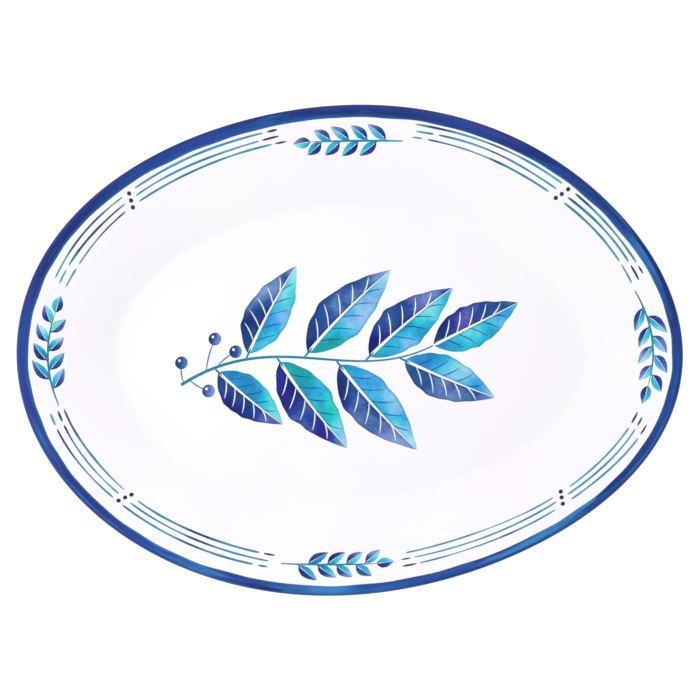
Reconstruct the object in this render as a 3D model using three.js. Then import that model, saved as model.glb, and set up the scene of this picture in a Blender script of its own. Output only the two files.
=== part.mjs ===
// Oval serving platter in melamine. A white core is compression-moulded first. A printed decal is then
// pressed onto its face in three pieces, and a clear glaze is pressed over the print.
// Millimetres, +Z up. The origin is on the table, under the middle of the platter.
import * as THREE from "three";

// Overall size
const LENGTH = 406; // along X, lip to lip
const WIDTH = 302; // along Y, lip to lip
const HEIGHT = 32; // from the table to the top of the lip

// Section of the dish
const WALL = 4; // finished thickness of the floor and the wall
const RIM_RUN = 61; // from the lip in to the edge of the flat floor, seen in plan
const FLOOR_FILLET = 14; // radius of the turn from the floor into the wall
const FOOT_HEIGHT = 3; // how far the foot ring lifts the floor off the table
const FOOT_WIDTH = 4.5; // the flat of the foot ring that stands on the table
const FOOT_DRAFT = 0.8; // lean of each side of the foot ring, which lets the mould come away

// Layers pressed on the face
const GLAZE = 0.25; // clear coat over the print
const FOIL = 0.25; // printed decal
const BOND = 0.05; // bond line between two layers, and the seam between two pieces of the decal
const BAND_WIDTH = 7.2; // border strip of the decal, from the lip inwards, seen in plan

// Hand-formed outline: how far the oval swells and draws in, and where (turns in degrees)
const SWELL_IN_3_LOBES = 1.18;
const TURN_OF_3_LOBES = 35;
const SWELL_IN_4_LOBES = 1.48;
const TURN_OF_4_LOBES = 63;
const SWELL_IN_5_LOBES = 0.46;
const TURN_OF_5_LOBES = 40;

// Fineness of the facets
const SIDES = 56; // round the oval
const ARC_HALVES = 2; // half the number of facets across each rounded corner of the section

// Sizes that follow from those above. The section is drawn as (radius, height) for a round dish as wide
// as the platter.
const LIP_RADIUS = WALL / 2;
const FLOOR_HEIGHT = FOOT_HEIGHT + WALL;
const EDGE = WIDTH / 2;
const FLOOR_EDGE = EDGE - RIM_RUN;
const FOOT_INNER_EDGE = FLOOR_EDGE - 2 * FOOT_DRAFT - FOOT_WIDTH;
const LIP_CENTRE = new THREE.Vector2(EDGE - LIP_RADIUS, HEIGHT - LIP_RADIUS);
const FILLET_CENTRE = new THREE.Vector2(FLOOR_EDGE, FLOOR_HEIGHT + FLOOR_FILLET);

// The wall is the straight line that touches the lip's circle from above and the fillet's from below.
const betweenCentres = LIP_CENTRE.clone().sub(FILLET_CENTRE);
const SLOPE = betweenCentres.angle() + Math.asin((LIP_RADIUS + FLOOR_FILLET) / betweenCentres.length());
const WALL_FACING = Math.PI / 2 + SLOPE; // direction that the face of the wall looks in, in the section
const DOWN = -Math.PI / 2;

// Depth of each layer under the finished face
const FOIL_TOP = GLAZE + BOND;
const FOIL_BACK = FOIL_TOP + FOIL;
const CORE_TOP = FOIL_BACK + BOND;

function arc(centre, radius, from, to) {
  const curve = new THREE.EllipseCurve(centre.x, centre.y, radius, radius, from, to, to < from);
  return curve.getPoints(2 * ARC_HALVES);
}

// Over the lip, from its outermost point to where the wall begins
const lip = (depth) => arc(LIP_CENTRE, LIP_RADIUS - depth, 0, WALL_FACING);

// From the foot of the wall round to the edge of the floor
const fillet = (depth) => arc(FILLET_CENTRE, FLOOR_FILLET + depth, DOWN + SLOPE, DOWN);

// A point of the wall, by its distance in from the lip in plan and its depth under the face
function wallPoint(inset, depth) {
  const lipTop = lip(0).at(-1);
  const run = lipTop.x - (EDGE - inset);
  const inward = new THREE.Vector2(-run, -run * Math.tan(SLOPE));
  const under = new THREE.Vector2(-Math.cos(WALL_FACING), -Math.sin(WALL_FACING)).multiplyScalar(depth);
  return lipTop.clone().add(inward).add(under);
}

const floorPoint = (radius, depth) => new THREE.Vector2(radius, FLOOR_HEIGHT - depth);

// Hand-formed oval, not yet fitted to the overall size; turn runs once round it
function freehandOval(turn) {
  const lobes = [
    [3, SWELL_IN_3_LOBES, TURN_OF_3_LOBES],
    [4, SWELL_IN_4_LOBES, TURN_OF_4_LOBES],
    [5, SWELL_IN_5_LOBES, TURN_OF_5_LOBES],
  ];
  const swells = lobes.map(([count, swell, at]) => swell * Math.cos(count * turn + THREE.MathUtils.degToRad(at)));
  const point = new THREE.Vector2((LENGTH / 2) * Math.cos(turn), (WIDTH / 2) * Math.sin(turn));
  return point.setLength(point.length() + swells.reduce((sum, swell) => sum + swell, 0));
}

const corners = Array.from({ length: SIDES }, (_, i) => freehandOval((i / SIDES) * 2 * Math.PI));
const freehandBox = new THREE.Box2().setFromPoints(corners);
const freehandMiddle = freehandBox.getCenter(new THREE.Vector2());
const freehandSize = freehandBox.getSize(new THREE.Vector2());
const fit = new THREE.Vector2(LENGTH, WIDTH).divide(freehandSize);

// The outline of the lip, centred and as long and wide as the platter
const outline = (turn) => freehandOval(turn).sub(freehandMiddle).multiply(fit);

// The point at a distance in from the outline, square to it
function insideOutline(turn, inset) {
  const step = 1e-4;
  const along = outline(turn + step).sub(outline(turn - step)).normalize();
  return outline(turn).add(new THREE.Vector2(-along.y, along.x).multiplyScalar(inset));
}

// Carries a round dish out to the oval. Every ring from the lip to the inside of the foot keeps its distance
// from the edge, and the floor within is stretched to fill the oval that is left.
function carryToOval(geometry) {
  const place = geometry.getAttribute("position");
  for (let i = 0; i < place.count; i++) {
    const spot = new THREE.Vector2(place.getX(i), place.getY(i));
    const radius = spot.length();
    const ring = Math.max(radius, FOOT_INNER_EDGE);
    const moved = insideOutline(spot.angle(), EDGE - ring).multiplyScalar(radius / ring);
    place.setXY(i, moved.x, moved.y);
  }
  return geometry;
}

// One solid of the platter, from its closed section
function pressed(name, section, material) {
  const round = new THREE.LatheGeometry(section, SIDES).rotateX(Math.PI / 2);
  const mesh = new THREE.Mesh(carryToOval(round), material);
  mesh.name = name;
  return mesh;
}

const closed = (points) => [...points, points[0].clone()];

// A layer between two depths under the face, from a function that draws its line at one depth
const layer = (line, top, back) => closed([...line(back), ...line(top).reverse()]);

const melamine = (color, look = {}) => new THREE.MeshStandardMaterial({ color, roughness: 0.3, metalness: 0, ...look });
const WHITE_MELAMINE = melamine(0xf6f3f7);
const PRINTED_WHITE = melamine(0xfaf6fc, { roughness: 0.12 });
const BORDER_BLUE = melamine(0x2a4590, { roughness: 0.12 });
const CLEAR_GLAZE = melamine(0xffffff, { roughness: 0.06, transparent: true, opacity: 0.2 });

// White core with its foot ring. The decal and the glaze end on a ledge at the outermost point of the lip,
// where the two halves of the mould part.
function coreSection() {
  const ledgeDrop = Math.asin(BOND / LIP_RADIUS);
  const ledgeInner = new THREE.Vector2(LIP_CENTRE.x + LIP_RADIUS - CORE_TOP, LIP_CENTRE.y - BOND);
  const underLip = arc(LIP_CENTRE, LIP_RADIUS, -ledgeDrop, DOWN + SLOPE);
  const underFillet = fillet(WALL);
  const foot = [
    new THREE.Vector2(FLOOR_EDGE - FOOT_DRAFT, 0),
    new THREE.Vector2(FLOOR_EDGE - FOOT_DRAFT - FOOT_WIDTH, 0),
    new THREE.Vector2(FOOT_INNER_EDGE, FOOT_HEIGHT),
  ];
  const underside = [floorPoint(0, WALL), ...foot.reverse(), ...underFillet.reverse(), ...underLip.reverse()];
  const face = [ledgeInner, ...lip(CORE_TOP), ...fillet(CORE_TOP), floorPoint(0, CORE_TOP)];
  return [...underside, ...face];
}

// Clear glaze over the whole face
function glazeSection() {
  const line = (depth) => [...lip(depth), ...fillet(depth)];
  return [floorPoint(0, GLAZE), ...line(GLAZE).reverse(), ...line(0), floorPoint(0, 0)];
}

// Border strip of the decal, folded over the lip
const bandLine = (depth) => [wallPoint(BAND_WIDTH, depth), ...lip(depth).reverse()];

// Ring of the decal on the wall, between the border strip and the floor
const ringLine = (depth) => [...fillet(depth).reverse(), wallPoint(BAND_WIDTH + BOND, depth)];

// Oval of the decal on the floor
function ovalSection() {
  const radius = FLOOR_EDGE - BOND;
  return [
    floorPoint(0, FOIL_BACK),
    floorPoint(radius, FOIL_BACK),
    floorPoint(radius, FOIL_TOP),
    floorPoint(0, FOIL_TOP),
  ];
}

const platter = new THREE.Group();
platter.add(
  pressed("core_moulding", coreSection(), WHITE_MELAMINE),
  pressed("border_foil", layer(bandLine, FOIL_TOP, FOIL_BACK), BORDER_BLUE),
  pressed("wall_foil", layer(ringLine, FOIL_TOP, FOIL_BACK), PRINTED_WHITE),
  pressed("well_foil", ovalSection(), PRINTED_WHITE),
  pressed("glaze_coat", glazeSection(), CLEAR_GLAZE),
);

export default platter;
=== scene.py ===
"""Looks of an oval melamine platter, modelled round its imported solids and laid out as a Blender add-on.

Metres, +Z up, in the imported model's frame: X runs along the platter, Y across it, and the table is at zero.
"""
import math
import random
from functools import partial

import bpy
from mathutils import Matrix, Vector


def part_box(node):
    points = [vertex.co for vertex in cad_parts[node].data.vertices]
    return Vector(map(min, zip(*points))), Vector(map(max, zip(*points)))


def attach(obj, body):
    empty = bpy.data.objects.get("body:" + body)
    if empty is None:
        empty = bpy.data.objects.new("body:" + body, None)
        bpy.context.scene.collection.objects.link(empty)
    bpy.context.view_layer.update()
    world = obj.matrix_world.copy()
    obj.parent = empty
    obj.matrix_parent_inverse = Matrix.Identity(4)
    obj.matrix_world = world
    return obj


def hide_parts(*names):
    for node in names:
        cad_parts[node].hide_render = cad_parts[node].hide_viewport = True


bl_info = {
    "name": "Melamine platter",
    "version": (1, 0, 0),
    "blender": (4, 5, 0),
    "location": "3D View > Sidebar > Platter",
    "description": "Models and finishes an oval melamine platter round its packed solids",
    "category": "Object",
}

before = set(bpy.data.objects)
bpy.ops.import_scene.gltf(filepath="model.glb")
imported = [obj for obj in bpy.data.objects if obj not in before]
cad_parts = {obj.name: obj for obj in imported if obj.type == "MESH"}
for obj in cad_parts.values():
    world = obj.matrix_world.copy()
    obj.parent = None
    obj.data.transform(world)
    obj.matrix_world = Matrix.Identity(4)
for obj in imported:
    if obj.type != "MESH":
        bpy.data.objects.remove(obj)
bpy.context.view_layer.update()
MM = 0.001
QUARTER = math.pi / 2

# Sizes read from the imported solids
CORE_LOW, CORE_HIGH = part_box("core_moulding")
WELL_LOW, WELL_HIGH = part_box("well_foil")
LENGTH = CORE_HIGH.x - CORE_LOW.x
WIDTH = CORE_HIGH.y - CORE_LOW.y
LIP_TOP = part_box("glaze_coat")[1].z
GLAZE = LIP_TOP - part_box("border_foil")[1].z
FLOOR = WELL_HIGH.z + GLAZE
RIM_RUN = (LENGTH - (WELL_HIGH.x - WELL_LOW.x)) / 2

# Section of the dish, as in the solids
WALL = 4 * MM
FLOOR_FILLET = 14 * MM
FOOT_HEIGHT = FLOOR - WALL
FOOT_WIDTH = 4.5 * MM
FOOT_DRAFT = 0.8 * MM
FOOT_ROUND = 0.5 * MM  # rounding of the foot ring's edges
FOOT_EASE = 0.3 * FOOT_ROUND  # from the sharp corner to the middle of that rounding
SKIN = 0.55 * MM  # decal and glaze together
PARTING = 0.05 * MM  # height of the line where the mould parts
LIP = WALL / 2
LIP_HEIGHT = LIP_TOP - LIP
TO_LIP = Vector((RIM_RUN - LIP, LIP_HEIGHT - FLOOR - FLOOR_FILLET))
SLOPE = math.atan2(TO_LIP.y, TO_LIP.x) + math.asin((LIP + FLOOR_FILLET) / TO_LIP.length)

# Hand-formed outline: lobes round the oval, how far they swell, and where in degrees
SWELLS = ((3, 1.18 * MM, 35), (4, 1.48 * MM, 63), (5, 0.46 * MM, 40))

# Fineness of the meshes
SIDES = 224  # round the oval
ARC_STEPS = 10  # across a rounded corner of the section
POLE_RINGS = (0.97, 0.8, 0.75, 0.66, 0.5)  # each ring of the floor as a share of the ring round it
PRINT_SIDES = 672  # round the border and the stripes
BAND_ROWS = 16  # across the border
LEAF_ROWS = 6  # across half a leaf
LINE_ROWS = 2  # across a brush line
DOT_STEPS = 8  # across a dot

# How far each layer of the print lies above the face, so that no two share a plane
STEM_LIFT = 0.01 * MM
STALK_LIFT = 0.012 * MM
LEAF_STALK_LIFT = 0.015 * MM
PRINT_LIFT = 0.02 * MM
VEIN_LIFT = 0.075 * MM  # clear of the leaves and berries under them


def linear(code):
    """An sRGB hex colour such as 2A4590, as linear red, green, blue and alpha."""
    values = [int(code[i:i + 2], 16) / 255 for i in (0, 2, 4)]
    return (*(v / 12.92 if v <= 0.04045 else ((v + 0.055) / 1.055) ** 2.4 for v in values), 1.0)


def size(name, about, millimetres):
    """A length that a user may change."""
    return bpy.props.FloatProperty(name=name, description=about, default=millimetres * MM, unit="LENGTH")


def colour(name, about, code):
    """A colour that a user may change."""
    return bpy.props.FloatVectorProperty(
        name=name, description=about, default=linear(code), size=4, min=0, max=1, subtype="COLOR"
    )


class PlatterPrintSizes(bpy.types.PropertyGroup):
    """Sizes of the print on the face"""

    band_width: size("Border width", "From the lip inwards, seen in plan", 6.9)
    band_waver: size("Border waver", "How far the border's inner edge wanders", 0.2)
    stripe_inset: size("First stripe", "From the lip to the outermost stripe, seen in plan", 11.9)
    stripe_step: size("Stripe spacing", "From one stripe to the next", 3.95)
    stripe_width: size("Stripe width", "Width of one brush line", 1.15)
    stripe_waver: size("Stripe waver", "How far a stripe wanders", 0.28)
    print_shift: size("Print shift", "How far the stripes sit off centre", 2.6)
    leaf_length: size("Leaf length", "Longest leaf of the spray on the floor", 72)
    leaf_width: size("Leaf width", "Width of that leaf", 30)
    sprig_length: size("Sprig length", "One small sprig on the wall", 70)
    sprig_leaf: size("Sprig leaf", "Longest leaf of a small sprig", 14)
    sprig_gap: size("Sprig gap", "From the border to a small sprig", 1.8)
    ink: size("Ink", "How thick the print is on the face", 0.04)


class PlatterColours(bpy.types.PropertyGroup):
    """Colours of the melamine and the inks"""

    melamine: colour("Melamine", "White core as moulded", "F4F1F5")
    decal: colour("Decal", "White ground of the print", "FCFCFC")
    border: colour("Border blue", "Body colour of the border", "25529F")
    border_dark: colour("Border dark", "Where the border pools", "1F3776")
    # Painted shade along the lip, where it turns away from the light
    border_lip_shade: colour("Border edge", "Where the border dried along the lip", "101F5E")
    border_violet: colour("Border violet", "Where the border turns to violet", "394292")
    border_light: colour("Border light", "Thin streaks in the border", "3C86C6")
    stripe: colour("Stripe", "Fine stripes", "348BAE")
    stripe_thin: colour("Stripe, thin", "Where a stripe's ink runs thin", "58AFC6")
    stripe_dark: colour("Stripe, dark", "Dark dashes, dots and stretches of stripe", "2A3766")
    navy: colour("Navy wash, deep", "Where the navy pools", "1B2F74")
    navy_full: colour("Navy wash, full", "Body of the navy wash", "2E509C")
    navy_thin: colour("Navy wash, thin", "Where the navy runs thin", "7FA9D4")
    turquoise: colour("Turquoise wash", "Pale half of a leaf", "33BEE0")
    turquoise_thin: colour("Turquoise wash, thin", "Where the turquoise runs thin", "A6E1F2")
    teal: colour("Teal", "Stems, and where the turquoise pools", "1983AC")
    sea_green: colour("Sea green", "Where the turquoise runs into green", "2FB8AE")
    sky: colour("Sky blue", "Where the turquoise runs into blue", "2F98D8")
    indigo: colour("Indigo", "Where the navy runs into violet", "2A3088")
    mid_blue: colour("Mid blue", "Where the navy runs into blue", "2A6FBA")


def print_sizes():
    """The sizes of the print, as they are set."""
    return bpy.context.scene.platter_sizes


def colours():
    """The colours, as they are set."""
    return bpy.context.scene.platter_colours


# The outline and the section


def heading(angle):
    """A step of one along an angle, in plan."""
    return Vector((math.cos(angle), math.sin(angle)))


def to_left(way):
    """A step of one to the left of a way, in plan."""
    return Vector((-way.y, way.x)).normalized()


def freehand_oval(turn):
    """Hand-formed oval, not yet fitted to the platter's length and width."""
    point = Vector((LENGTH / 2 * math.cos(turn), WIDTH / 2 * math.sin(turn)))
    swell = sum(depth * math.cos(lobes * turn + math.radians(at)) for lobes, depth, at in SWELLS)
    return point * (1 + swell / point.length)


FREEHAND = [freehand_oval(2 * math.pi * i / SIDES) for i in range(SIDES)]
FREEHAND_LOW, FREEHAND_HIGH = (Vector([end(axis) for axis in zip(*FREEHAND)]) for end in (min, max))
FREEHAND_SIZE = FREEHAND_HIGH - FREEHAND_LOW


def outline(turn):
    """The lip's outermost point at a turn round the platter, in plan."""
    point = freehand_oval(turn) - (FREEHAND_LOW + FREEHAND_HIGH) / 2
    return Vector((point.x * LENGTH / FREEHAND_SIZE.x, point.y * WIDTH / FREEHAND_SIZE.y))


def pace(turn):
    """The outline's derivative at a turn, in metres per radian."""
    step = 1e-4
    return (outline(turn + step) - outline(turn - step)) / (2 * step)


def inside(turn, inset):
    """The point at a distance in from the outline, square to it, in plan."""
    return outline(turn) + to_left(pace(turn)) * inset


def turn_for(turn, length, inset):
    """The turn that a length takes up round the wall, at a turn and a distance in from the outline."""
    step = 0.01
    return 2 * step * length / (inside(turn + step, inset) - inside(turn - step, inset)).length


def lip_point(facing, depth=0.0):
    """(inset, height) on the lip where it faces that angle above straight outwards."""
    radius = LIP - depth
    return LIP - radius * math.cos(facing), LIP_HEIGHT + radius * math.sin(facing)


def fillet_point(lean, depth=0.0):
    """(inset, height) on the fillet where it slopes at that angle."""
    radius = FLOOR_FILLET + depth
    return RIM_RUN - radius * math.sin(lean), FLOOR + FLOOR_FILLET - radius * math.cos(lean)


def spread(start, end):
    """Evenly spaced values from start to end, both included."""
    return [start + (end - start) * i / ARC_STEPS for i in range(ARC_STEPS + 1)]


WALL_TOP = lip_point(QUARTER + SLOPE)


def wall_height(inset):
    """Height of the wall's face at a distance in from the outline."""
    return WALL_TOP[1] - (inset - WALL_TOP[0]) * math.tan(SLOPE)


def face_section(depth):
    """(inset, height) points of the face at a depth under it, from the parting line to the floor's edge."""
    lip = [lip_point(facing, depth) for facing in spread(0, QUARTER + SLOPE)]
    fillet = [fillet_point(lean, depth) for lean in spread(SLOPE, 0)]
    return lip + fillet


def underside_section():
    """(inset, height) points of the underside, from the parting line to the inside of the foot ring."""
    lip = [lip_point(facing) for facing in spread(0, SLOPE - QUARTER)]
    fillet = [fillet_point(lean, WALL) for lean in spread(SLOPE, 0)]
    outer = RIM_RUN + FOOT_DRAFT
    inner = outer + FOOT_WIDTH
    lean = FOOT_ROUND * FOOT_DRAFT / FOOT_HEIGHT
    foot = [
        (outer - lean, FOOT_ROUND),
        (outer + FOOT_EASE, FOOT_EASE),
        (outer + FOOT_ROUND, 0),
        (inner - FOOT_ROUND, 0),
        (inner - FOOT_EASE, FOOT_EASE),
        (inner + lean, FOOT_ROUND),
        (inner + FOOT_DRAFT - FOOT_EASE, FOOT_HEIGHT - FOOT_ROUND),
        (inner + FOOT_DRAFT + FOOT_ROUND, FOOT_HEIGHT),
    ]
    return lip + fillet + foot


# Modelling


def deselect():
    """Leaves edit mode and selects nothing."""
    if bpy.context.object and bpy.context.object.mode != "OBJECT":
        bpy.ops.object.mode_set(mode="OBJECT")
    bpy.ops.object.select_all(action="DESELECT")


def pick(*objects):
    """Selects only these objects, the first of them active."""
    deselect()
    for thing in objects:
        thing.select_set(True)
    bpy.context.view_layer.objects.active = objects[0]


def modify(piece, kind, **settings):
    """Adds a modifier to a piece and applies it."""
    pick(piece)
    bpy.ops.object.modifier_add(type=kind)
    modifier = piece.modifiers[-1]
    for name, value in settings.items():
        setattr(modifier, name, value)
    bpy.ops.object.modifier_apply(modifier=modifier.name)


def named(name):
    """The object just made, with its name on it and on its mesh."""
    piece = bpy.context.object
    piece.name = name
    piece.data.name = name
    return piece


def oval_blank(name, height):
    """A flat oval sheet as big as the platter, at a height, left in edit mode with its face selected."""
    deselect()
    bpy.ops.mesh.primitive_circle_add(vertices=SIDES, radius=1, fill_type="NGON")
    blank = named(name)
    for corner in blank.data.vertices:
        corner.co = (*outline(math.atan2(corner.co.y, corner.co.x)), height)
    bpy.ops.object.mode_set(mode="EDIT")
    bpy.ops.mesh.select_mode(type="FACE")
    bpy.ops.mesh.select_all(action="SELECT")
    return blank


def press(points, facing):
    """Carries the selected oval face in along (inset, height) points; facing is 1 for up, -1 for down."""
    for (inset, height), (next_inset, next_height) in zip(points, points[1:]):
        bpy.ops.mesh.inset(
            thickness=next_inset - inset, depth=facing * (next_height - height), use_even_offset=True
        )


def close_oval():
    """Fills the selected oval with rings that shrink to a pole."""
    for ring in POLE_RINGS:
        bpy.ops.mesh.inset(thickness=0)
        bpy.ops.transform.resize(value=(ring, ring, 1), center_override=(0, 0, 0))
    bpy.ops.mesh.poke()


def smooth(piece, degrees=40):
    """Shades a piece smooth, apart from edges sharper than that."""
    pick(piece)
    bpy.ops.object.shade_smooth_by_angle(angle=math.radians(degrees))


def laid(columns, rows, place, wraps=False):
    """A strip of print whose point (u, v), from 0 to 1, goes to place(u, v); it closes if it wraps."""
    deselect()
    bpy.ops.mesh.primitive_grid_add(x_subdivisions=columns, y_subdivisions=rows, size=1)
    strip = bpy.context.object
    for corner in strip.data.vertices:
        corner.co = place(corner.co.x + 0.5, corner.co.y + 0.5)  # the grid is centred
    if wraps:
        bpy.ops.object.mode_set(mode="EDIT")
        bpy.ops.mesh.select_all(action="SELECT")
        bpy.ops.mesh.remove_doubles()
        bpy.ops.object.mode_set(mode="OBJECT")
    return strip


def joined(name, strips):
    """Several strips as one piece."""
    pick(*strips)
    if len(strips) > 1:
        bpy.ops.object.join()
    return named(name)


def dress(piece, material, slot, *nodes):
    """Gives a piece its finish and its place on the platter, and hides the solids that it stands for."""
    if material:
        piece.data.materials.clear()
        piece.data.materials.append(material)
    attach(piece, "root")
    if nodes:
        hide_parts(*nodes)


def printed(piece, material=None):
    """Gives a strip of print the thickness of its ink and its finish."""
    modify(piece, "SOLIDIFY", thickness=print_sizes().ink, offset=1)
    smooth(piece)
    dress(piece, material, "border_blue")


def waver(seed, lobes, depth):
    """A smooth, seeded wander of about that depth, as a function of the turn round the platter."""
    draw = random.Random(seed)
    waves = [(k, draw.uniform(0.5, 1), draw.uniform(0, 2 * math.pi)) for k in lobes]
    scale = depth / math.sqrt(len(waves) / 2)
    return lambda turn: scale * sum(share * math.sin(k * turn + at) for k, share, at in waves)


# Materials

# A Mix node that mixes colours: its sockets and its settings
SHARE, FIRST, SECOND = 0, 6, 7
COLOUR_MIX = {"out": 2, "data_type": "RGBA"}


def add_node(tree, kind, inputs=(), out=0, **settings):
    """Adds a node, sets or links its inputs, by socket or in order, and gives back one of its outputs."""
    node = tree.nodes.new(kind)
    for name, value in settings.items():
        setattr(node, name, value)
    for socket, source in inputs.items() if isinstance(inputs, dict) else enumerate(inputs):
        if isinstance(source, bpy.types.NodeSocket):
            tree.links.new(source, node.inputs[socket])
        else:
            node.inputs[socket].default_value = source
    return node.outputs[out] if node.outputs else None


def nodes_of(owner):
    """Empties the nodes of a new material or world, and gives back the function that adds to them."""
    owner.use_nodes = True
    owner.node_tree.nodes.clear()
    return partial(add_node, owner.node_tree)


def new_material(name):
    """A new material, and the function that adds its nodes."""
    material = bpy.data.materials.new(name)
    return material, nodes_of(material)


def surface(add, looks):
    """Adds a material's shader, with its looks, and its output."""
    shader = add("ShaderNodeBsdfPrincipled", looks)
    add("ShaderNodeOutputMaterial", {"Surface": shader})


def per_mm(millimetres):
    """Scale of a texture on coordinates in metres whose features are that big."""
    return 1000 / millimetres


# The clear melamine over the print: a hard, even gloss over colour that has none of its own
UNDER_GLAZE = {
    "Roughness": 0.5, "Specular IOR Level": 0, "Coat Weight": 1, "Coat Roughness": 0.06, "Coat IOR": 1.55
}

# Below, a MapRange takes a value, the range that it has, and the range that it gets, if that isn't 0 to 1.


def white_melamine():
    """Melamine, compression-moulded: an even satin white with faint clouds of its cellulose filler."""
    material, add = new_material("white_moulded_melamine")
    white = colours().melamine
    grey = linear("E4DFE6")
    scuffed = linear("CFC9CC")
    place = add("ShaderNodeTexCoord", out="Object")
    clouds = add("ShaderNodeTexNoise", {"Vector": place, "Scale": per_mm(18), "Detail": 5})
    shade = add("ShaderNodeMapRange", (clouds, 0, 1, 0, 0.35))
    cloudy = add("ShaderNodeMix", {SHARE: shade, FIRST: white, SECOND: grey}, **COLOUR_MIX)
    # The foot ring is scuffed where it slides on the table.
    height = add("ShaderNodeSeparateXYZ", (place,), "Z")
    low = add("ShaderNodeMapRange", (height, 0, FOOT_ROUND, 1, 0))
    scratches = add("ShaderNodeTexNoise", {"Vector": place, "Scale": per_mm(1.2), "Detail": 6})
    worn = add("ShaderNodeMath", (low, scratches), operation="MULTIPLY")
    base = add("ShaderNodeMix", {SHARE: worn, FIRST: cloudy, SECOND: scuffed}, **COLOUR_MIX)
    rough = add("ShaderNodeMapRange", (worn, 0, 1, 0.26, 0.55))
    surface(add, {"Base Color": base, "Roughness": rough, "IOR": 1.55})
    return material


def glazed_decal():
    """White decal under glaze: a cool, faintly lavender white with a wet gloss and a slight unevenness."""
    material, add = new_material("glazed_white_decal")
    white = colours().decal
    lavender = linear("FBF9FC")
    place = add("ShaderNodeTexCoord", out="Object")
    tint = add("ShaderNodeTexNoise", {"Vector": place, "Scale": per_mm(70), "Detail": 2})
    share = add("ShaderNodeMapRange", (tint, 0.35, 0.65))
    base = add("ShaderNodeMix", {SHARE: share, FIRST: white, SECOND: lavender}, **COLOUR_MIX)
    ripple = add("ShaderNodeTexNoise", {"Vector": place, "Scale": per_mm(12), "Detail": 1})
    bump = add("ShaderNodeBump", {"Height": ripple, "Strength": 0.05, "Distance": 0.2 * MM})
    surface(add, {"Base Color": base, "Coat Normal": bump, **UNDER_GLAZE})
    return material


DARKER_TURN = math.radians(95)  # the turn towards which the border is darker
BRUSH_VIOLET = math.radians(185)  # the turn towards which it goes to violet
BRUSH_RADIUS = 0.17  # mean radius of the lip, round which the brush goes
BRUSH_START = math.radians(-85)  # where round the lip the brush was set down
BRUSH_STRETCH = 22  # streaks are this much longer than wide
BRUSH_RAGGED = 0.03  # how far the streaks break up the edge of a stroke
LIP_SHADE_SPREAD = 0.2  # distance to the right over which the painted shade along the lip deepens


def brushed_border():
    """Blue brushed round the lip: long streaks along the stroke, paler inside, with painted shade along the
    lip.
    """
    material, add = new_material("glazed_border_blue")
    inks = colours()
    place = add("ShaderNodeTexCoord", out="Object")
    brush = add("ShaderNodeAttribute", out="Vector", attribute_name="brush")
    slow, hue, streaks = (
        add("ShaderNodeTexNoise", {"Vector": brush, "Scale": per_mm(length), "Detail": detail})
        for length, detail in ((90, 3), (130, 2), (50, 4))
    )
    # The border is darker towards the far side, and painted more violet on the left than on the right.
    far, left = (
        add("ShaderNodeVectorMath", (place, (*heading(way), 0)), "Value", operation="DOT_PRODUCT")
        for way in (DARKER_TURN, BRUSH_VIOLET)
    )
    far = add("ShaderNodeMapRange", (far, -BRUSH_RADIUS, BRUSH_RADIUS, -0.1, 0.14))
    left = add("ShaderNodeMapRange", (left, -BRUSH_RADIUS, BRUSH_RADIUS, -0.17, 0.1))
    # Each stroke has a tone of its own, with a ragged edge over the next.
    ragged = (streaks.node.outputs["Color"], (BRUSH_RAGGED,) * 3, brush)
    ragged = add("ShaderNodeVectorMath", ragged, operation="MULTIPLY_ADD")
    strokes = add("ShaderNodeTexVoronoi", {"Vector": ragged, "Scale": per_mm(90)}, "Color")
    tone = add("ShaderNodeSeparateXYZ", (strokes,))
    tone = add("ShaderNodeMapRange", (tone, 0, 1, -0.08, 0.08))
    tone = add("ShaderNodeMath", (tone, far), operation="ADD")
    # The grain of the paper that it was painted on, coarser than life so that it shows
    grain = add("ShaderNodeTexNoise", {"Vector": place, "Scale": per_mm(1.8), "Detail": 2})
    speck = add("ShaderNodeMapRange", (grain, 0.3, 0.7, -0.045, 0.045))
    depth = add("ShaderNodeMath", (slow, tone), operation="ADD")
    depth = add("ShaderNodeMath", (depth, speck), operation="ADD")
    pooled = add("ShaderNodeMapRange", (depth, 0.38, 0.62))
    violet = add("ShaderNodeMath", (hue, left), operation="ADD")
    violet = add("ShaderNodeMapRange", (violet, 0.44, 0.6))
    light = add("ShaderNodeMath", (streaks, tone), operation="SUBTRACT")
    thin = add("ShaderNodeMapRange", (light, 0.52, 0.74, 0, 0.9))
    # It dried pale in places along its inner edge. Along the lip it is darker, more so on the right: painted
    # shade where the lip turns away from the light.
    laid_on = add("ShaderNodeUVMap", uv_map="UVMap")
    across = add("ShaderNodeSeparateXYZ", (laid_on,), "Y")
    inner = add("ShaderNodeMapRange", (across, 0.8, 1, 0, 0.42))
    pale = add("ShaderNodeMapRange", (hue, 0.44, 0.56, 1, 0))
    inner = add("ShaderNodeMath", (inner, pale), operation="MULTIPLY")
    # Painted shade along the lip, deeper towards the right, away from the light
    lip = add("ShaderNodeMapRange", (across, 0.16, 0.38, 1, 0))
    right = add("ShaderNodeSeparateXYZ", (place,), "X")
    shade_to_right = add("ShaderNodeMapRange", (right, -LIP_SHADE_SPREAD, LIP_SHADE_SPREAD, 0.3, 1))
    lip = add("ShaderNodeMath", (lip, shade_to_right), operation="MULTIPLY")
    pool = {SHARE: violet, FIRST: inks.border_dark, SECOND: inks.border_violet}
    pool = add("ShaderNodeMix", pool, **COLOUR_MIX)
    pale_blue = inks.border_light
    blue = inks.border
    for share, ink in ((pooled, pool), (thin, pale_blue), (inner, pale_blue), (lip, inks.border_lip_shade)):
        blue = add("ShaderNodeMix", {SHARE: share, FIRST: blue, SECOND: ink}, **COLOUR_MIX)
    surface(add, {"Base Color": blue, **UNDER_GLAZE})
    return material


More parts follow.
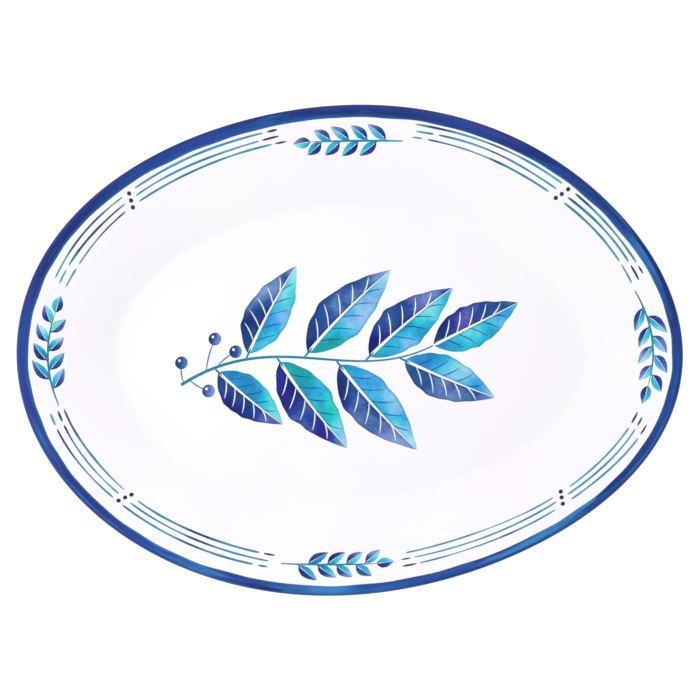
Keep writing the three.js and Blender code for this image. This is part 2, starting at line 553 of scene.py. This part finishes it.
def line_ink(name, full, thin, dark=None):
    """Fine brush lines: the ink runs from full to thin along the line, and at times into a darker ink."""
    material, add = new_material(name)
    place = add("ShaderNodeTexCoord", out="Object")
    flow = add("ShaderNodeTexNoise", {"Vector": place, "Scale": per_mm(16), "Detail": 4})
    share = add("ShaderNodeMapRange", (flow, 0.45, 0.7))
    ink = add("ShaderNodeMix", {SHARE: share, FIRST: full, SECOND: thin}, **COLOUR_MIX)
    if dark:
        turn = add("ShaderNodeTexNoise", {"Vector": place, "Scale": per_mm(38), "Detail": 2})
        share = add("ShaderNodeMapRange", (turn, 0.56, 0.64, 0, 0.8))
        ink = add("ShaderNodeMix", {SHARE: share, FIRST: ink, SECOND: dark}, **COLOUR_MIX)
    surface(add, {"Base Color": ink, **UNDER_GLAZE})
    return material


def leaf_wash(name, deep, full, thin, strays):
    """A watercolour wash: deep at the stalk, pale where the water lay, dark where it dried at the edges."""
    material, add = new_material(name)
    place = add("ShaderNodeTexCoord", out="Object")
    laid_on = add("ShaderNodeUVMap", uv_map="UVMap")
    along, across, _ = add("ShaderNodeSeparateXYZ", (laid_on,)).node.outputs
    water, grain, drift = (
        add("ShaderNodeTexNoise", {"Vector": place, "Scale": per_mm(length), "Detail": detail})
        for length, detail in ((22, 3), (1.3, 2), (30, 2))
    )
    # Run of the wash: along the leaf, disturbed by water and by a paper grain coarser than life
    run = add("ShaderNodeMapRange", (along, 0, 1, -0.1, 0.72))
    wet = add("ShaderNodeMapRange", (water, 0.3, 0.7, -0.3, 0.55))
    speck = add("ShaderNodeMapRange", (grain, 0, 1, -0.15, 0.15))
    run = add("ShaderNodeMath", (run, wet), operation="ADD")
    run = add("ShaderNodeMath", (run, speck), operation="ADD")
    wash = add("ShaderNodeValToRGB", (run,))
    stops = wash.node.color_ramp.elements
    stops[0].color = deep
    stops[1].color = thin
    stops.new(0.45).color = full
    # The hue strays to either side, as wet colours run together.
    for stray, limit in zip(strays, (0.34, 0.66)):
        share = add("ShaderNodeMapRange", (drift, 0.5, limit))
        run_in = {SHARE: share, FIRST: wash, SECOND: stray}
        wash = add("ShaderNodeMix", run_in, **COLOUR_MIX, blend_type="HUE")
    # Across the wash, the colour dries darker at either edge.
    away = add("ShaderNodeMath", (across, 0.5), operation="SUBTRACT")
    away = add("ShaderNodeMath", (away,), operation="ABSOLUTE")
    edge = add("ShaderNodeMapRange", (away, 0.36, 0.5, 0, 0.6))
    wash = add("ShaderNodeMix", {SHARE: edge, FIRST: wash, SECOND: deep}, **COLOUR_MIX)
    surface(add, {"Base Color": wash, **UNDER_GLAZE})
    return material


def studio_floor():
    """Pale floor that goes to white for the camera and keeps the platter's soft shadow."""
    material, add = new_material("pale_studio_floor")
    rays = add("ShaderNodeLightPath").node.outputs
    direct = rays["Is Camera Ray"]
    for ray in ("Is Glossy Ray", "Is Transmission Ray"):
        direct = add("ShaderNodeMath", (direct, rays[ray]), operation="MAXIMUM")
    shadowed = add("ShaderNodeBsdfDiffuse", {"Color": linear("A8A8A8")})
    glow = add("ShaderNodeEmission", {"Strength": 0.78})
    bright = add("ShaderNodeAddShader", (shadowed, glow))
    # To other rays it glows a little all over, so that the underside isn't black.
    matt = add("ShaderNodeBsdfDiffuse", {"Color": linear("D2D2D2")})
    under_light = add("ShaderNodeEmission", {"Strength": 0.15})
    pale = add("ShaderNodeAddShader", (matt, under_light))
    either = add("ShaderNodeMixShader", (direct, pale, bright))
    # Seen from below, the floor is clear, so that the foot ring shows.
    below = add("ShaderNodeNewGeometry", out="Backfacing")
    clear = add("ShaderNodeBsdfTransparent")
    one_way = add("ShaderNodeMixShader", (below, either, clear))
    add("ShaderNodeOutputMaterial", {"Surface": one_way})
    return material


def studio_tent():
    """White tent all round: even light, white behind the platter, dimmer where the glaze mirrors it."""
    world = bpy.data.worlds.new("studio_tent")
    add = nodes_of(world)
    white = linear("FFFFFF")
    way = add("ShaderNodeTexCoord", out="Generated")
    up = add("ShaderNodeSeparateXYZ", (way,), "Z")
    dimmed = add("ShaderNodeMapRange", (up, 0, 1, 0.24, 0.06))
    light = add("ShaderNodeBackground", {"Color": linear("FDFBFE"), "Strength": 0.9})
    mirror = add("ShaderNodeBackground", {"Color": white, "Strength": dimmed})
    behind = add("ShaderNodeBackground", {"Color": white, "Strength": 1.0})
    rays = add("ShaderNodeLightPath").node.outputs
    tent = add("ShaderNodeMixShader", (rays["Is Glossy Ray"], light, mirror))
    tent = add("ShaderNodeMixShader", (rays["Is Camera Ray"], tent, behind))
    add("ShaderNodeOutputWorld", {"Surface": tent})
    return world


# The body


class PLATTER_OT_core(bpy.types.Operator):
    """Mould the white core with its foot ring"""

    bl_idname = "platter.core"
    bl_label = "Core"

    def execute(self, context):
        core = oval_blank("melamine_core", LIP_HEIGHT - PARTING)
        bpy.ops.mesh.extrude_region_move(TRANSFORM_OT_translate={"value": (0, 0, PARTING)})
        press([(0, LIP_HEIGHT)] + face_section(SKIN), 1)
        close_oval()
        bpy.ops.object.mode_set(mode="OBJECT")
        for side in core.data.polygons:
            side.select = len(side.vertices) == SIDES
        bpy.ops.object.mode_set(mode="EDIT")
        press([(0, LIP_HEIGHT - PARTING)] + underside_section()[1:], -1)
        close_oval()
        bpy.ops.mesh.select_all(action="SELECT")
        bpy.ops.mesh.normals_make_consistent(inside=False)
        smooth(core, degrees=50)
        dress(core, white_melamine(), "white_melamine", "core_moulding")
        return {"FINISHED"}


class PLATTER_OT_face(bpy.types.Operator):
    """Press the white decal and the glaze on the face"""

    bl_idname = "platter.face"
    bl_label = "Face"

    def execute(self, context):
        face = oval_blank("glazed_face", LIP_HEIGHT)
        press(face_section(0), 1)
        close_oval()
        modify(face, "SOLIDIFY", thickness=SKIN, offset=-1)
        smooth(face, degrees=60)
        dress(face, glazed_decal(), "printed_white", "wall_foil", "well_foil", "glaze_coat")
        return {"FINISHED"}


# The border

BAND_WIDER_FAR = 0.15  # shares by which the border is wider on the far side and on the left
BAND_WIDER_LEFT = 0.07
BAND_WANDER = waver(3, (5, 8, 13, 19, 26, 34, 43), 1)
LIP_SHARE = 0.5  # share of the border's rows that go over the lip


def band_edge(turn):
    """Distance in from the lip of the border's inner edge at a turn."""
    sizes = print_sizes()
    slow = 1 + BAND_WIDER_FAR * math.sin(turn) - BAND_WIDER_LEFT * math.cos(turn)
    return sizes.band_width * slow + sizes.band_waver * BAND_WANDER(turn)


def band_place(u, v):
    """The border's point at a share of the way round, and across from the parting line to its inner edge."""
    turn = 2 * math.pi * u
    if v <= LIP_SHARE:
        inset, height = lip_point((QUARTER + SLOPE) * v / LIP_SHARE, -PRINT_LIFT)
    else:
        inset, height = lip_point(QUARTER + SLOPE, -PRINT_LIFT)
        run = (band_edge(turn) - inset) * (v - LIP_SHARE) / (1 - LIP_SHARE)
        inset += run
        height -= run * math.tan(SLOPE)
    return (*inside(turn, inset), height)


class PLATTER_OT_border(bpy.types.Operator):
    """Brush the blue border over the lip"""

    bl_idname = "platter.border"
    bl_label = "Border"

    def execute(self, context):
        band = joined("border_band", [laid(PRINT_SIDES, BAND_ROWS, band_place, wraps=True)])
        brush = band.data.attributes.new("brush", "FLOAT_VECTOR", "POINT")
        for corner, along in zip(band.data.vertices, brush.data):
            spot = corner.co.xy
            inset = (outline(math.atan2(spot.y / WIDTH, spot.x / LENGTH)) - spot).length
            ring = Matrix.Rotation(BRUSH_START, 2) @ spot.normalized() * BRUSH_RADIUS
            along.vector = (ring.x, ring.y, (inset + corner.co.z) * BRUSH_STRETCH)
        printed(band, brushed_border())
        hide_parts("border_foil")
        return {"FINISHED"}


# The stripes

PRINT_SHIFT_WAY = math.radians(60)  # the turn towards which the print sits off centre
STROKE_TAPER = 2.5 * MM  # length over which the end of a stroke thins
STROKE_END = 0.5  # width of its end as a share of its full width
STRIPE_LOBES = range(2, 14)  # of a stripe's wander
SWELL_LOBES = (2, 3, 5, 9, 14, 23, 37, 52)  # of its change in width
SWELL_SHARE = 0.2
SPRIG_REACH = 0.74  # how far a sprig's leaves reach out, as a share of the longest

# Lengths drawn by chance: the least and the most, in millimetres
DASH_LENGTH = (5, 13)
DASH_GAP = (2, 3.5)
SPRIG_CLEAR = (3, 9)
DOT_CLEAR = (3.5, 6)
DASH_CHANCE = 0.7  # that a stroke has a dash at the end that meets a sprig
DARK_CHANCE = 0.5  # that the dash is in the dark ink

# Three dots at each diagonal, one to a stripe
DOT_TURNS = [QUARTER * (quarter + 0.5) for quarter in range(4)]
DOT_RADIUS = 1.3 * MM
DOT_LEAN = 1.6 * MM  # how far round the wall each dot lies from the last
DOT_INSET = 0.6 * MM  # how far in from its stripe a dot lies


def ring_stroke(start, end, inset_at, width_at):
    """A brush line round the wall between two turns, thinner at either end."""
    steps = max(10, int(PRINT_SIDES * (end - start) / (2 * math.pi)))
    taper = STROKE_TAPER / (pace(start).length * (end - start))

    def place(u, v):
        turn = start + (end - start) * u
        thin = min(1, STROKE_END + (1 - STROKE_END) * min(u, 1 - u) / taper)
        inset = inset_at(turn) + width_at(turn) * thin * (v - 0.5)
        return (*inside(turn, inset), wall_height(inset) + PRINT_LIFT)

    return laid(steps, LINE_ROWS, place)


def stripe_inset(number, turn):
    """Distance in from the lip of a stripe at a turn, in a print that is a little off centre."""
    sizes = print_sizes()
    shift = sizes.print_shift * math.cos(turn - PRINT_SHIFT_WAY)
    return sizes.stripe_inset + number * sizes.stripe_step - shift


def sprig_inset(turn):
    """Distance in from the lip of a sprig's stalk at a turn, its leaves clear of the border."""
    sizes = print_sizes()
    return band_edge(turn) + sizes.sprig_gap + SPRIG_REACH * sizes.sprig_leaf


def past_sprig(turn, draw):
    """The turn from a sprig's middle to where a stripe starts beside it."""
    length = print_sizes().sprig_length / 2 + draw.uniform(*SPRIG_CLEAR) * MM
    return turn_for(turn, length, sprig_inset(turn))


def strokes_between(start, end, inset, draw, dash_first):
    """Splits a stretch of stripe into a long stroke and, at times, a dash at the end that meets a sprig."""
    if draw.random() > DASH_CHANCE:
        return [(start, end, False)]
    near = start if dash_first else end
    dash = turn_for(near, draw.uniform(*DASH_LENGTH) * MM, inset)
    gap = turn_for(near, draw.uniform(*DASH_GAP) * MM, inset)
    dark = draw.random() < DARK_CHANCE
    if dash_first:
        return [(start, start + dash, dark), (start + dash + gap, end, False)]
    return [(start, end - dash - gap, False), (end - dash, end, dark)]


class PLATTER_OT_stripes(bpy.types.Operator):
    """Brush three fine stripes round the wall, broken for the sprigs and the dots"""

    bl_idname = "platter.stripes"
    bl_label = "Stripes"

    def execute(self, context):
        sizes = print_sizes()
        inks = colours()
        teal = line_ink("glazed_stripe_teal", inks.stripe, inks.stripe_thin, inks.stripe_dark)
        navy = line_ink("glazed_stripe_navy", inks.stripe_dark, inks.border)
        draw = random.Random(12)
        dashes = []
        dots = []
        for number, name in enumerate(("stripe_outer", "stripe_middle", "stripe_inner")):
            wander = waver(20 + number, STRIPE_LOBES, sizes.stripe_waver)
            swell = waver(40 + number, SWELL_LOBES, SWELL_SHARE)
            strokes = []

            def inset_at(turn, number=number, wander=wander):
                return stripe_inset(number, turn) + wander(turn)

            def width_at(turn, swell=swell):
                return sizes.stripe_width * (1 + swell(turn))

            for quarter, diagonal in enumerate(DOT_TURNS):
                inset = inset_at(diagonal)
                dot = diagonal + turn_for(diagonal, (number - 1) * DOT_LEAN, inset)
                first = quarter * QUARTER
                last = first + QUARTER
                first += past_sprig(first, draw)
                last -= past_sprig(last, draw)
                beside = turn_for(dot, draw.uniform(*DOT_CLEAR) * MM, inset)
                spans = strokes_between(first, dot - beside, inset, draw, dash_first=True)
                spans += strokes_between(dot + beside, last, inset, draw, dash_first=False)
                for start, end, dark in spans:
                    (dashes if dark else strokes).append(ring_stroke(start, end, inset_at, width_at))
                put = on_wall(dot, inset_at(dot) + DOT_INSET)
                dots.append(disc(Vector((0, 0)), DOT_RADIUS, put, PRINT_LIFT))
            printed(joined(name, strokes), teal)
        printed(joined("stripe_dashes", dashes), navy)
        printed(joined("stripe_dots", dots), navy)
        return {"FINISHED"}


# Leaves, dots and brush strokes


class Leaf:
    """A leaf's outline in the plane of its sprig: two halves either side of a bare midrib."""

    BELLY = 0.8  # under 1 puts the widest part nearer to the stalk
    FULLNESS = 0.9  # under 1 fills the sides out
    MIDRIB = 0.03  # half of the bare midrib, as a share of the leaf's width
    TIP = 0.004  # share of the length left off at either end, where a half has no width

    def __init__(self, base, angle, length, width, bend, seed, ragged=0.035):
        self.base = base
        self.along = heading(angle)
        self.square = to_left(self.along)
        self.length = length
        self.width = width
        self.bend = bend
        self.edge = waver(seed, (5, 9, 14), ragged)

    def half_width(self, s):
        """Half the leaf's width at a share of its length."""
        belly = math.sin(math.pi * s ** self.BELLY) ** self.FULLNESS
        return self.width / 2 * belly * (1 + self.edge(s * 3))

    def half_gap(self, s):
        """Half the bare midrib's width at a share of the leaf's length."""
        return min(self.width * self.MIDRIB * (1.2 - s), self.half_width(s) * 0.6)

    def point(self, s, across):
        """The point at a share of the length, and a distance to the left of the midrib."""
        aside = self.bend * self.length * s * s + across
        return self.base + self.along * self.length * s + self.square * aside

    def half(self, side, u, v):
        """The point (u, v) of the left half of the leaf (side 1) or of the right half (side -1)."""
        s = self.TIP + (1 - 2 * self.TIP) * u
        out = v if side > 0 else 1 - v
        gap = self.half_gap(s)
        return self.point(s, side * (gap + (self.half_width(s) - gap) * out))


def on_floor(point, lift):
    """A point of the spray, on the floor of the dish."""
    return (*point, FLOOR + lift)


def on_wall(middle, inset):
    """Maps a sprig's plane onto the wall, its middle at a turn and a distance in from the outline."""
    per_metre = turn_for(middle, 1, inset)

    def place(point, lift):
        depth = inset + point.y
        return (*inside(middle + point.x * per_metre, depth), wall_height(depth) + lift)

    return place


def disc(centre, radius, put, lift):
    """A round dot, from a square grid whose rows bow out to the circle."""

    def place(u, v):
        a, b = 2 * u - 1, 2 * v - 1
        spot = Vector((a * math.sqrt(1 - b * b / 2), b * math.sqrt(1 - a * a / 2)))
        return put(centre + spot * radius, lift)

    return laid(DOT_STEPS, DOT_STEPS, place)


def leaf_piece(name, leaf, put, materials, steps):
    """One leaf as a piece, its left half in the first material and its right half in the second."""
    strips = []
    for side, material in zip((1, -1), materials):
        strip = laid(steps, LEAF_ROWS, lambda u, v: put(leaf.half(side, u, v), PRINT_LIFT))
        strip.data.materials.append(material)
        strips.append(strip)
    return joined(name, strips)


def bowed(start, end, bow, u):
    """The point at a share of a line between two points that bows out to its left."""
    run = end - start
    return start + run * u + to_left(run) * bow * 4 * u * (1 - u)


def stroke(start, end, bow, width, put, lift, steps=10):
    """A brush stroke between two points, thinner at its ends but never down to nothing."""
    square = to_left(end - start)

    def place(u, v):
        reach = math.sin(math.pi * (0.12 + 0.85 * u)) ** 0.6
        return put(bowed(start, end, bow, u) + square * width * reach * (v - 0.5), lift)

    return laid(steps, LINE_ROWS, place)


# The spray on the floor

# Bends of the stem, in millimetres
STEM_BENDS = ((-104, -20), (-46, 18), (2, -22), (52, 4))
STEM_STEPS = 60
STEM_WIDTH = 2.0 * MM  # where it is cut
STEM_THINS = 1.1 * MM  # by its tip

# Leaves: share along the stem, side of it (1 left, -1 right), length in millimetres and lean in degrees
SPRAY_LEAVES = (
    (0.12, -1, 52, 64), (0.24, 1, 62, 58), (0.36, -1, 68, 57), (0.47, 1, 72, 55),
    (0.60, -1, 71, 48), (0.72, 1, 66, 45), (0.86, -1, 60, 37), (1.00, 0, 58, 0),
)
LEAF_STALK = 4 * MM
LEAF_STALK_WIDTH = 1.3 * MM
LAST_LEAF_STALK = 0.5 * MM
LEAF_BEND = (0.04, 0.1)  # least and most, as a share of the leaf's length
STALK_INTO_LEAF = 0.06  # share of the leaf's length that its stalk runs in

# Berries: share along the stem, side of it, length of the stalk in millimetres and lean in degrees
SPRAY_BERRIES = ((0.01, 1, 13, 66), (0.03, -1, 14, 60), (0.09, 1, 21, 52), (0.13, 1, 15, 20))
BERRY_RADIUS = 4 * MM
BERRY_STALK_WIDTH = 0.9 * MM
BERRY_STALK_BOW = 0.8 * MM
GLINT_RADIUS = 0.85 * MM
GLINT_AT = Vector((-1.3, 1.3)) * MM

# Veins: where they leave the midrib and how far they run on, as shares of the leaf's length
VEINS = [0.14 + 0.14 * number for number in range(5)]
VEIN_RUN = 0.13
VEIN_REACH = 0.82  # share of the way from the midrib to the edge
VEIN_BOW = 0.6 * MM
VEIN_WIDTHS = {"spray_veins_bare": 0.75 * MM, "spray_veins_navy": 0.5 * MM}


def stem_at(t):
    """The point at a share of the spray's stem."""
    a, b, c, d = (Vector(bend) * MM for bend in STEM_BENDS)
    return a * (1 - t) ** 3 + b * 3 * t * (1 - t) ** 2 + c * 3 * t * t * (1 - t) + d * t ** 3


def stem_angle(t):
    """The way the stem runs at a share of it."""
    run = stem_at(min(t + 0.01, 1)) - stem_at(max(t - 0.01, 0))
    return math.atan2(run.y, run.x)


def stem_place(u, v):
    """The stem's point at a share along it and across it."""
    width = STEM_WIDTH - STEM_THINS * u
    point = stem_at(u) + to_left(heading(stem_angle(u))) * width * (v - 0.5)
    return on_floor(point, STEM_LIFT)


def halves(number, navy, turquoise):
    """The washes of a leaf's left and right halves, turn and turn about."""
    return (navy, turquoise) if number % 2 else (turquoise, navy)


class PLATTER_OT_spray(bpy.types.Operator):
    """Paint the leafy spray on the floor of the dish"""

    bl_idname = "platter.spray"
    bl_label = "Spray"

    def execute(self, context):
        sizes = print_sizes()
        inks = colours()
        strays = inks.indigo, inks.mid_blue
        navy = leaf_wash("glazed_navy_wash", inks.navy, inks.navy_full, inks.navy_thin, strays)
        strays = inks.sea_green, inks.sky
        turquoise = leaf_wash("glazed_turquoise_wash", inks.teal, inks.turquoise, inks.turquoise_thin, strays)
        teal = line_ink("glazed_teal_line", inks.teal, inks.stripe)
        navy_line = line_ink("glazed_navy_line", inks.navy, inks.border)
        bare = line_ink("glazed_bare_line", inks.decal, linear("DDE9F4"))

        lines = [laid(STEM_STEPS, LINE_ROWS, stem_place)]
        leaves = []
        draw = random.Random(5)
        for i, (t, side, length, lean) in enumerate(SPRAY_LEAVES):
            angle = stem_angle(t) + side * math.radians(lean)
            foot = stem_at(t)
            base = foot + heading(angle) * (LEAF_STALK if side else LAST_LEAF_STALK)
            scale = length * MM / sizes.leaf_length
            width = sizes.leaf_width * (0.4 + 0.6 * scale)
            bend = -side * draw.uniform(*LEAF_BEND)
            leaf = Leaf(base, angle, sizes.leaf_length * scale, width, bend, seed=60 + i)
            leaves.append(leaf)
            if side:
                end = leaf.point(STALK_INTO_LEAF, 0)
                lines.append(stroke(foot, end, 0, LEAF_STALK_WIDTH, on_floor, LEAF_STALK_LIFT))
            washes = halves(i, navy, turquoise)
            printed(leaf_piece(f"spray_leaf_{i + 1:02d}", leaf, on_floor, washes, steps=26))
        berries = []
        glints = []
        for t, side, length, lean in SPRAY_BERRIES:
            foot = stem_at(t)
            head = foot + heading(stem_angle(t) + side * math.radians(lean)) * length * MM
            bow = side * BERRY_STALK_BOW
            lines.append(stroke(foot, head, bow, BERRY_STALK_WIDTH, on_floor, STALK_LIFT))
            berries.append(disc(head, BERRY_RADIUS, on_floor, PRINT_LIFT))
            glints.append(disc(head + GLINT_AT, GLINT_RADIUS, on_floor, VEIN_LIFT))
        printed(joined("spray_berries", berries), navy)
        printed(joined("spray_glints", glints), bare)
        printed(joined("spray_stem", lines), teal)

        veins = {name: [] for name in VEIN_WIDTHS}
        for i, leaf in enumerate(leaves):
            for s in VEINS:
                for side, wash in zip((1, -1), halves(i, navy, turquoise)):
                    name = "spray_veins_bare" if wash is navy else "spray_veins_navy"
                    start = leaf.point(s, side * leaf.half_gap(s))
                    tip = s + VEIN_RUN
                    end = leaf.point(tip, side * leaf.half_width(tip) * VEIN_REACH)
                    bow = -side * VEIN_BOW
                    veins[name].append(stroke(start, end, bow, VEIN_WIDTHS[name], on_floor, VEIN_LIFT))
        for name, ink in (("spray_veins_bare", bare), ("spray_veins_navy", navy_line)):
            printed(joined(name, veins[name]), ink)
        return {"FINISHED"}


# The sprigs on the wall

SPRIG_LEAVES = 9  # the last of them at the tip
SPRIG_FIRST_LEAF = 0.17  # share along the stalk of the first leaf
SPRIG_LEAF_STEP = 0.1  # and from each to the next
SPRIG_TIP = 0.66  # where the stalk ends, as a share of half the sprig's length
SPRIG_STALK_WIDTH = 1.2 * MM
SPRIG_STALK_BOW = 1.2 * MM
SPRIG_LEAF_WIDTH = 6.2 * MM
SPRIG_LEAF_SHORTER = 0.4 * MM  # each leaf than the one before it
SPRIG_LEAF_BEND = 0.08  # as a share of its length
SPRIG_LEAF_STALK = 1.3 * MM
SPRIG_LEAF_STALK_WIDTH = 0.8 * MM
SPRIG_STALK_INTO_LEAF = 0.1
SPRIG_LEAN = (36, 44)  # of a leaf from the stalk: least and most, in degrees
SPRIG_UNEVEN = (0.94, 1.06)  # least and most that a leaf's length is stretched


class PLATTER_OT_sprigs(bpy.types.Operator):
    """Paint the small sprigs that break the stripes"""

    bl_idname = "platter.sprigs"
    bl_label = "Sprigs"

    def execute(self, context):
        sizes = print_sizes()
        navy = bpy.data.materials["glazed_navy_wash"]
        turquoise = bpy.data.materials["glazed_turquoise_wash"]
        teal = bpy.data.materials["glazed_teal_line"]
        reach = sizes.sprig_length / 2
        for number in range(4):
            turn = number * QUARTER
            put = on_wall(turn, sprig_inset(turn))
            way = 1 if number % 2 else -1
            ahead = 0 if way > 0 else math.pi
            draw = random.Random(80 + number)
            start = Vector((-reach * way, 0))
            end = Vector((reach * way * SPRIG_TIP, 0))
            bow = SPRIG_STALK_BOW
            lines = [stroke(start, end, bow, SPRIG_STALK_WIDTH, put, STEM_LIFT, steps=40)]
            leaves = []
            for i in range(SPRIG_LEAVES):
                last = i == SPRIG_LEAVES - 1
                side = 0 if last else (1 if i % 2 else -1)
                foot = bowed(start, end, bow, 1 if last else SPRIG_FIRST_LEAF + SPRIG_LEAF_STEP * i)
                angle = ahead + side * math.radians(draw.uniform(*SPRIG_LEAN))
                length = (sizes.sprig_leaf - SPRIG_LEAF_SHORTER * i) * draw.uniform(*SPRIG_UNEVEN)
                base = foot + heading(angle) * SPRIG_LEAF_STALK * abs(side)
                bend = -side * SPRIG_LEAF_BEND
                leaf = Leaf(base, angle, length, SPRIG_LEAF_WIDTH, bend, seed=90 + i, ragged=0.02)
                into = leaf.point(SPRIG_STALK_INTO_LEAF, 0)
                lines.append(stroke(foot, into, 0, SPRIG_LEAF_STALK_WIDTH, put, STALK_LIFT))
                leaves.append(leaf_piece("sprig", leaf, put, halves(i, navy, turquoise), steps=22))
            for line in lines:
                line.data.materials.append(teal)
            printed(joined(f"border_sprig_{number + 1}", lines + leaves))
        return {"FINISHED"}


# The stage

VIEW_AZIMUTH = math.radians(33)
VIEW_ELEVATION = math.radians(78)
VIEW_ROLL = math.radians(-0.3)
VIEW_DISTANCE = 1.442
VIEW_SHIFT = Vector((0.0001, 0.0027))
LENS = 120  # millimetres
FLOOR_SIZE = 8
FLOOR_DROP = 0.1 * MM  # under the foot ring, so that the two don't share a plane

# Soft boxes: name, place, what it looks at, width in metres, watts, and whether the glaze mirrors it
SOFT_BOXES = (
    ("key_soft_box", (-0.62, 0.3, 0.7), (0, 0, 0), 0.5, 2.7, False),
    ("fill_soft_box", (0.9, -0.7, 0.35), (0, 0, 0), 0.6, 0.4, False),
    ("lip_soft_box", (-1.3, 0.15, 0.2), (0, 0, 0.03), 0.6, 1.0, True),
)


def soft_box(name, place, target, width, watts, mirrored):
    """A square lamp that looks at a point, and that the glaze may mirror."""
    bpy.ops.object.light_add(type="AREA", location=place)
    light = bpy.context.object
    light.name = name
    light.data.shape = "SQUARE"
    light.data.size = width
    light.data.energy = watts
    light.visible_glossy = mirrored
    light.rotation_euler = (Vector(target) - Vector(place)).to_track_quat("-Z", "Y").to_euler()


def photo_camera():
    """The camera at the photograph's viewing angle."""
    level = math.cos(VIEW_ELEVATION)
    to_camera = Vector(
        (math.sin(VIEW_AZIMUTH) * level, -math.cos(VIEW_AZIMUTH) * level, math.sin(VIEW_ELEVATION))
    )
    # The platter's length lies along the picture's width, apart from a slight roll.
    right = (Vector((1, 0, 0)) - to_camera * to_camera.x).normalized()
    right = Matrix.Rotation(VIEW_ROLL, 3, to_camera) @ right
    up = to_camera.cross(right)
    bpy.ops.object.camera_add()
    camera = bpy.context.object
    camera.name = "photo_camera"
    camera.data.lens = LENS
    turned = Matrix((right, up, to_camera)).transposed().to_4x4()
    turned.translation = to_camera * VIEW_DISTANCE + right * VIEW_SHIFT.x + up * VIEW_SHIFT.y
    camera.matrix_world = turned
    return camera


class PLATTER_OT_stage(bpy.types.Operator):
    """Set the floor, the lamps, the world and the camera"""

    bl_idname = "platter.stage"
    bl_label = "Stage"

    def execute(self, context):
        deselect()
        bpy.ops.mesh.primitive_plane_add(size=FLOOR_SIZE, location=(0, 0, -FLOOR_DROP))
        bpy.ops.object.transform_apply(location=True, rotation=False, scale=False)
        floor = named("studio_floor")
        floor.data.materials.append(studio_floor())
        context.scene.world = studio_tent()
        for box in SOFT_BOXES:
            soft_box(*box)
        deselect()
        context.scene.camera = photo_camera()
        context.scene.view_settings.view_transform = "Standard"
        return {"FINISHED"}


class PLATTER_PT_panel(bpy.types.Panel):
    """Lists what makes the platter"""

    bl_idname = "PLATTER_PT_panel"
    bl_label = "Melamine platter"
    bl_space_type = "VIEW_3D"
    bl_region_type = "UI"
    bl_category = "Platter"

    def draw(self, context):
        for operator in OPERATORS:
            self.layout.operator(operator.bl_idname)
        for group in (context.scene.platter_sizes, context.scene.platter_colours):
            box = self.layout.box()
            for name in group.__annotations__:
                box.prop(group, name)


GROUPS = (PlatterPrintSizes, PlatterColours)
OPERATORS = (
    PLATTER_OT_core,
    PLATTER_OT_face,
    PLATTER_OT_border,
    PLATTER_OT_stripes,
    PLATTER_OT_spray,
    PLATTER_OT_sprigs,
    PLATTER_OT_stage,
)
CLASSES = (*GROUPS, *OPERATORS, PLATTER_PT_panel)


def register():
    for cls in CLASSES:
        bpy.utils.register_class(cls)
    bpy.types.Scene.platter_sizes = bpy.props.PointerProperty(type=PlatterPrintSizes)
    bpy.types.Scene.platter_colours = bpy.props.PointerProperty(type=PlatterColours)


def unregister():
    del bpy.types.Scene.platter_colours
    del bpy.types.Scene.platter_sizes
    for cls in reversed(CLASSES):
        bpy.utils.unregister_class(cls)


def main():
    register()
    bpy.ops.platter.core()
    bpy.ops.platter.face()
    bpy.ops.platter.border()
    bpy.ops.platter.stripes()
    bpy.ops.platter.spray()
    bpy.ops.platter.sprigs()
    bpy.ops.platter.stage()


if __name__ == "__main__":
    main()
